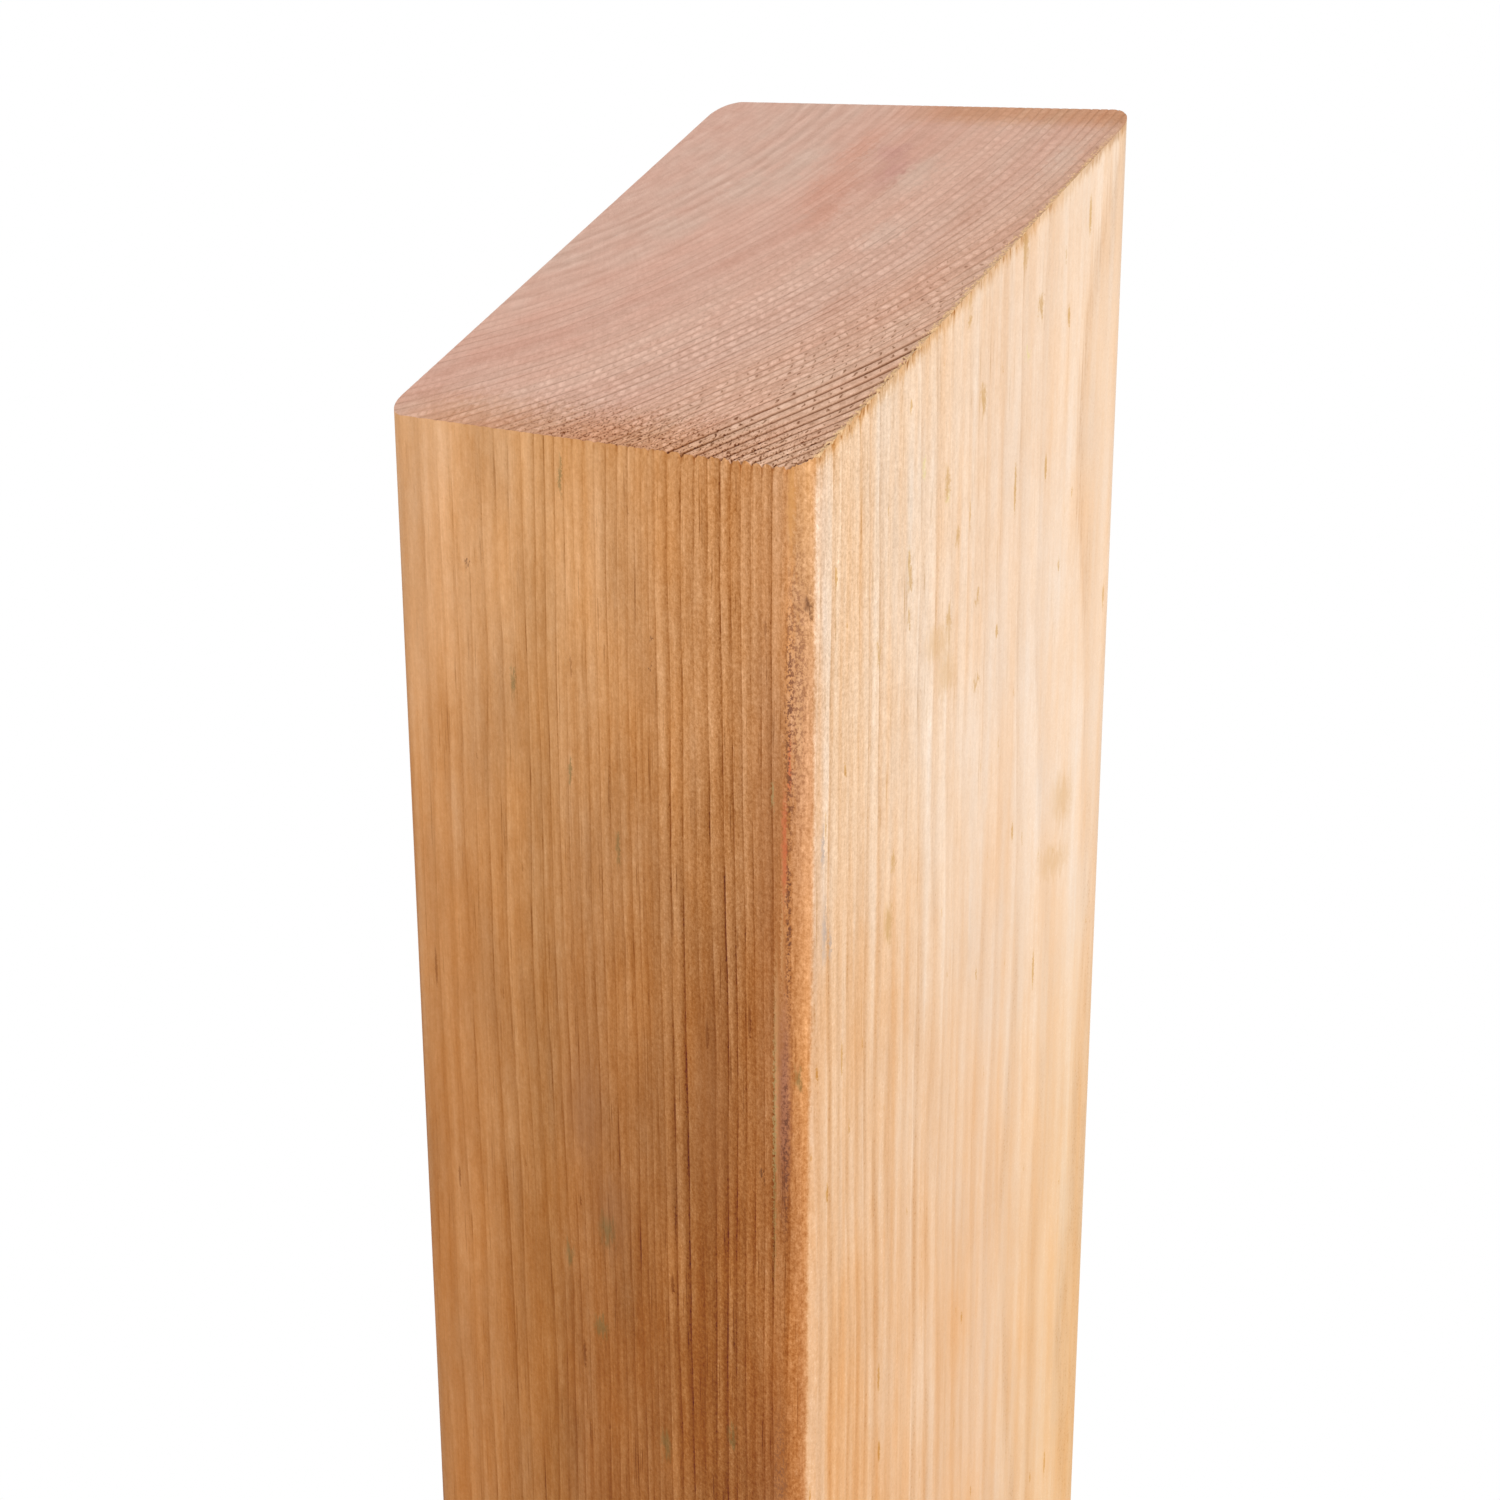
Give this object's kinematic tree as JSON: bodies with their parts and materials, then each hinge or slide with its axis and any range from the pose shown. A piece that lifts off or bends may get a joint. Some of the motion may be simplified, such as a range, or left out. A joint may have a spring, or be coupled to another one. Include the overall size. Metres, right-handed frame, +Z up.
{
  "type": "timber post",
  "caption": "Square planed timber post with eased long corners and a single sloping weathering cut across its top.",
  "frame": {"origin": "centre of the square foot, on the surface the post stands on", "axes": "+Z up the post; +X along the low edge of the sloping top; +Y the way the top rises"},
  "size_m": [0.095, 0.095, 1.8],
  "materials": {
    "timber": "planed softwood, bare and matt, with a sawn top"
  },
  "bodies": {
    "root": {"post": "timber"}
  },
  "joints": []
}
